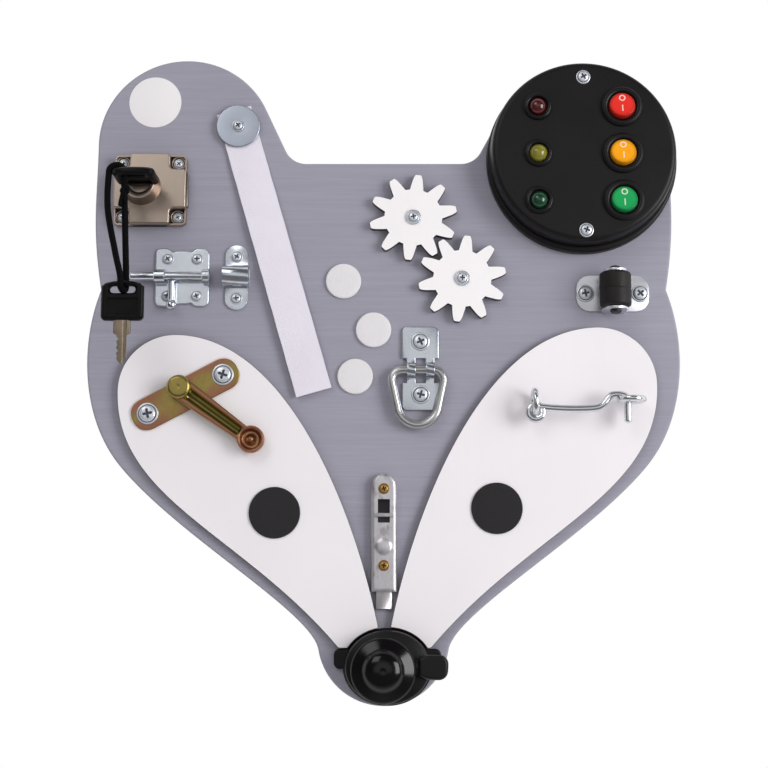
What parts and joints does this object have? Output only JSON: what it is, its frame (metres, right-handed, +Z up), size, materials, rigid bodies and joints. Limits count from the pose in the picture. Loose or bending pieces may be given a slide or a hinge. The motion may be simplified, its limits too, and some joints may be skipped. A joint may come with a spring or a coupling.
{
  "type": "wooden busy board",
  "caption": "Animal-head wooden busy board with lock and keys, bolts, strap, gears, lamp box, roller, pull ring, latch, hook and bell.",
  "frame": {"origin": "middle of the board's width and height, on its back face", "axes": "+X to the right as seen from the front, +Z up, +Y out of the back face into the wall; the front faces -Y"},
  "size_m": [0.3331, 0.0518, 0.3659],
  "materials": {
    "grey_paint": "grey stain over plywood, satin",
    "white_ply": "white satin paint",
    "black_felt": "felt",
    "white_tape": "woven hook-and-loop tape",
    "cord": "braided",
    "zinc": "bright zinc plate",
    "nickel": "satin nickel",
    "yellow_zinc": "yellow chromate over steel",
    "key_steel": "milled",
    "black_plastic": "moulded",
    "black_rubber": "matt",
    "red_plastic": "translucent gloss",
    "amber_plastic": "translucent gloss",
    "green_plastic": "translucent gloss",
    "red_lens": "clear tinted",
    "amber_lens": "clear tinted",
    "green_lens": "clear tinted",
    "cell_wrap": "shrink film"
  },
  "bodies": {
    "panel": {"board": "grey_paint", "cheek_left": "white_ply", "cheek_right": "white_ply", "eye_left": "black_felt", "eye_right": "black_felt", "strap_washer": "zinc", "strap_screw": "zinc", "coin_1": "white_tape", "coin_2": "white_tape", "coin_3": "white_tape", "lock_back_plate": "zinc", "lock_case": "nickel", "barrel_bolt_plate": "zinc", "barrel_bolt_keeper": "zinc", "gear_upper_screw": "zinc", "gear_lower_screw": "zinc", "light_box": "black_plastic", "lamp_red": "red_lens", "lamp_amber": "amber_lens", "lamp_green": "green_lens", "switch_body_red": "black_plastic", "switch_body_amber": "black_plastic", "switch_body_green": "black_plastic", "light_box_screw_top": "zinc", "light_box_screw_bottom": "zinc", "battery_holder": "black_plastic", "battery_cell_left": "cell_wrap", "battery_cell_right": "cell_wrap", "roller_bracket": "zinc", "roller_axle": "zinc", "ring_plate": "zinc", "latch_plate": "yellow_zinc", "latch_pin": "yellow_zinc", "slide_bolt_cover": "zinc", "hook_eye": "zinc", "catch_eye": "zinc", "bell_base": "black_plastic", "bell_dome": "black_plastic"},
    "plug": {"lock_plug": "nickel"},
    "lock_bolt": {"lock_bolt": "zinc"},
    "main_key": {"main_key_blade": "key_steel", "main_key_bow": "black_plastic"},
    "cord": {"key_cord": "cord"},
    "spare_key": {"spare_key_blade": "key_steel", "spare_key_bow": "black_plastic"},
    "bolt_rod": {"barrel_bolt_rod": "zinc"},
    "bolt_handle": {"barrel_bolt_handle": "zinc"},
    "strap": {"strap": "white_tape"},
    "upper_gear": {"gear_upper": "white_ply"},
    "lower_gear": {"gear_lower": "white_ply"},
    "red_button": {"switch_button_red": "red_plastic"},
    "amber_button": {"switch_button_amber": "amber_plastic"},
    "green_button": {"switch_button_green": "green_plastic"},
    "roller": {"roller_wheel": "black_rubber"},
    "ring": {"pull_ring": "zinc"},
    "latch": {"latch_lever": "yellow_zinc"},
    "slide_bar": {"slide_bolt_bar": "zinc"},
    "hook": {"cabin_hook": "zinc"},
    "bell_thumb": {"bell_lever": "black_plastic"}
  },
  "joints": [
    {"name": "plug_turn", "type": "hinge", "parent": "panel", "child": "plug", "pos_m": [-0.13667, -0.02, 0.10493], "axis": [0, -1, 0], "range_deg": [0, 90]},
    {"name": "lock_bolt_slide", "type": "slide", "parent": "panel", "child": "lock_bolt", "axis": [1, 0, 0], "range_m": [0, 0.00707]},
    {"name": "key_pull", "type": "slide", "parent": "plug", "child": "main_key", "axis": [0, -1, 0], "range_m": [0, 0.024]},
    {"name": "cord_hang", "type": "hinge", "parent": "main_key", "child": "cord", "pos_m": [-0.14592, -0.0462, 0.10493], "axis": [0, -1, 0], "range_deg": [-95, 5]},
    {"name": "spare_key_swing", "type": "hinge", "parent": "cord", "child": "spare_key", "pos_m": [-0.14072, -0.046, 0.03953], "axis": [0, -1, 0], "range_deg": [-25, 25]},
    {"name": "bolt_rod_slide", "type": "slide", "parent": "panel", "child": "bolt_rod", "axis": [1, 0, 0], "range_m": [-0.001, 0.012]},
    {"name": "bolt_handle_turn", "type": "hinge", "parent": "bolt_rod", "child": "bolt_handle", "pos_m": [-0.11919, -0.015, 0.05417], "axis": [-1, 0, 0], "range_deg": [0, 150]},
    {"name": "strap_turn", "type": "hinge", "parent": "panel", "child": "strap", "pos_m": [-0.08325, -0.011, 0.14256], "axis": [0, -1, 0], "range_deg": [-2, 13]},
    {"name": "upper_gear_spin", "type": "hinge", "parent": "panel", "child": "upper_gear", "pos_m": [0.0169, -0.0126, 0.08839], "axis": [0, -1, 0], "continuous": true},
    {"name": "lower_gear_spin", "type": "hinge", "parent": "panel", "child": "lower_gear", "pos_m": [0.04436, -0.0126, 0.05299], "axis": [0, -1, 0], "continuous": true},
    {"name": "red_button_rock", "type": "hinge", "parent": "panel", "child": "red_button", "pos_m": [0.1344, -0.0292, 0.14926], "axis": [1, 0, 0], "range_deg": [0, 20]},
    {"name": "amber_button_rock", "type": "hinge", "parent": "panel", "child": "amber_button", "pos_m": [0.1344, -0.0292, 0.12206], "axis": [1, 0, 0], "range_deg": [0, 20]},
    {"name": "green_button_rock", "type": "hinge", "parent": "panel", "child": "green_button", "pos_m": [0.1344, -0.0292, 0.09486], "axis": [1, 0, 0], "range_deg": [0, 20]},
    {"name": "roller_spin", "type": "hinge", "parent": "panel", "child": "roller", "pos_m": [0.12937, -0.021, 0.04502], "axis": [0, 0, 1], "continuous": true},
    {"name": "ring_swing", "type": "hinge", "parent": "panel", "child": "ring", "pos_m": [0.01903, -0.0145, 0.00081], "axis": [-1, 0, 0], "range_deg": [0, 150]},
    {"name": "latch_turn", "type": "hinge", "parent": "panel", "child": "latch", "pos_m": [-0.11289, -0.02, -0.00999], "axis": [0, -1, 0], "range_deg": [-90, 80]},
    {"name": "slide_bar_slide", "type": "slide", "parent": "panel", "child": "slide_bar", "axis": [0, 0, 1], "range_m": [-0.0015, 0.0065]},
    {"name": "hook_lift", "type": "hinge", "parent": "panel", "child": "hook", "pos_m": [0.08325, -0.023, -0.02488], "axis": [0, -1, 0], "range_deg": [0, 55]},
    {"name": "bell_lever_push", "type": "hinge", "parent": "panel", "child": "bell_thumb", "pos_m": [0.01736, -0.025, -0.16156], "axis": [0, -1, 0], "range_deg": [0, 18], "stiffness_Nm_per_rad": 0.01, "springref_deg": -11.46}
  ],
  "couplings": [
    {"joint": "plug_turn", "follows": "lock_bolt_slide", "rad_per_m": 222.14},
    {"joint": "cord_hang", "follows": "lock_bolt_slide", "rad_per_m": -222.14},
    {"joint": "upper_gear_spin", "follows": "lower_gear_spin", "ratio": -1}
  ]
}
